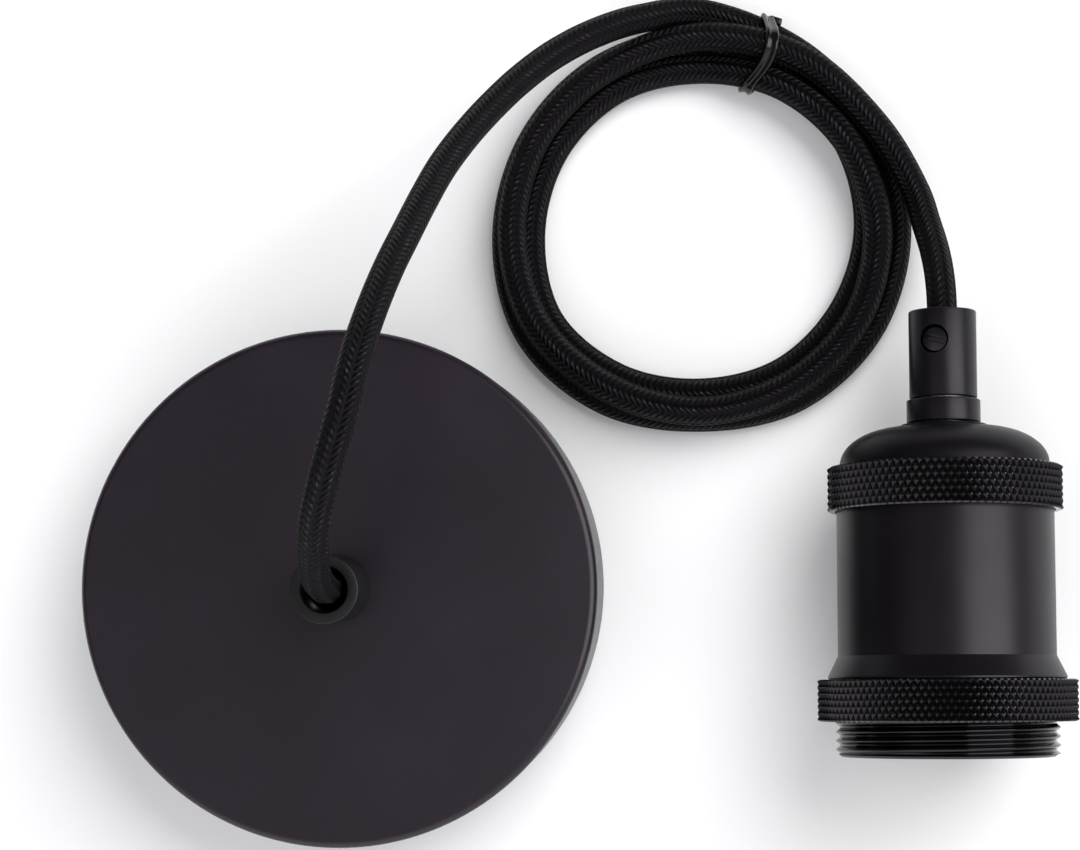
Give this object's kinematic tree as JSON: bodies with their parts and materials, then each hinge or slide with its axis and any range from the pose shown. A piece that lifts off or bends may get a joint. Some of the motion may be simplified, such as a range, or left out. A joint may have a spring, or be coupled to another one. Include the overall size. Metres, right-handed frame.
{
  "type": "pendant cord set",
  "caption": "Ceiling canopy with a cord gland, a textile cord tied in a coil, and a turned lamp holder with knurled rings and a screw socket.",
  "frame": {"origin": "on the canopy's axis, on the strap's back face, in the plane of the canopy's rim", "axes": "+Z from the ceiling plane through the canopy to its gland, +Y along the strap, +X towards the side where the lamp holder lies"},
  "size_m": [0.1916, 0.1677, 0.0801],
  "materials": {
    "powder_black": "satin powder coat, near black",
    "holder_black": "semi-gloss black over turned metal",
    "gland_black": "matt moulded nylon, very dark grey",
    "textile_black": "braided textile sleeve, black",
    "tie_grey": "soft glossy plastic, dark grey",
    "steel": "bright zinc plated",
    "brass": "plain brass",
    "porcelain": "off-white glazed porcelain",
    "terminal_white": "off-white moulded plastic",
    "core_brown": "brown core insulation",
    "core_blue": "blue core insulation",
    "core_earth": "green and yellow core insulation"
  },
  "bodies": {
    "root": {"canopy_cup": "powder_black", "mounting_strap": "steel", "canopy_screw_1": "steel", "canopy_screw_2": "steel", "cord_gland": "gland_black", "gland_screw": "steel", "gland_washer": "steel", "gland_nut": "gland_black", "terminal_body": "terminal_white", "terminal_insert_1": "brass", "terminal_insert_2": "brass", "terminal_screw_1": "steel", "terminal_screw_2": "steel", "terminal_screw_3": "steel", "terminal_screw_4": "steel", "terminal_fixing_screw": "steel", "earth_screw": "steel", "earth_lug": "brass", "canopy_core_brown": "core_brown", "canopy_core_blue": "core_blue", "canopy_core_earth": "core_earth", "cord_lead": "textile_black", "cord_coil": "textile_black", "cord_drop": "textile_black", "cord_tie": "tie_grey", "cord_grip": "holder_black", "grip_screw": "holder_black", "neck_nut": "holder_black", "hollow_nipple": "steel", "nipple_nut": "steel", "earth_tag": "brass", "dome_cap": "holder_black", "coupling_ring": "holder_black", "body_sleeve": "holder_black", "shade_ring": "holder_black", "socket_insert": "porcelain", "screw_shell": "brass", "centre_contact": "brass", "live_terminal": "brass", "neutral_terminal": "brass", "live_screw": "steel", "neutral_screw": "steel", "holder_core_brown": "core_brown", "holder_core_blue": "core_blue", "holder_core_earth": "core_earth"}
  },
  "joints": []
}
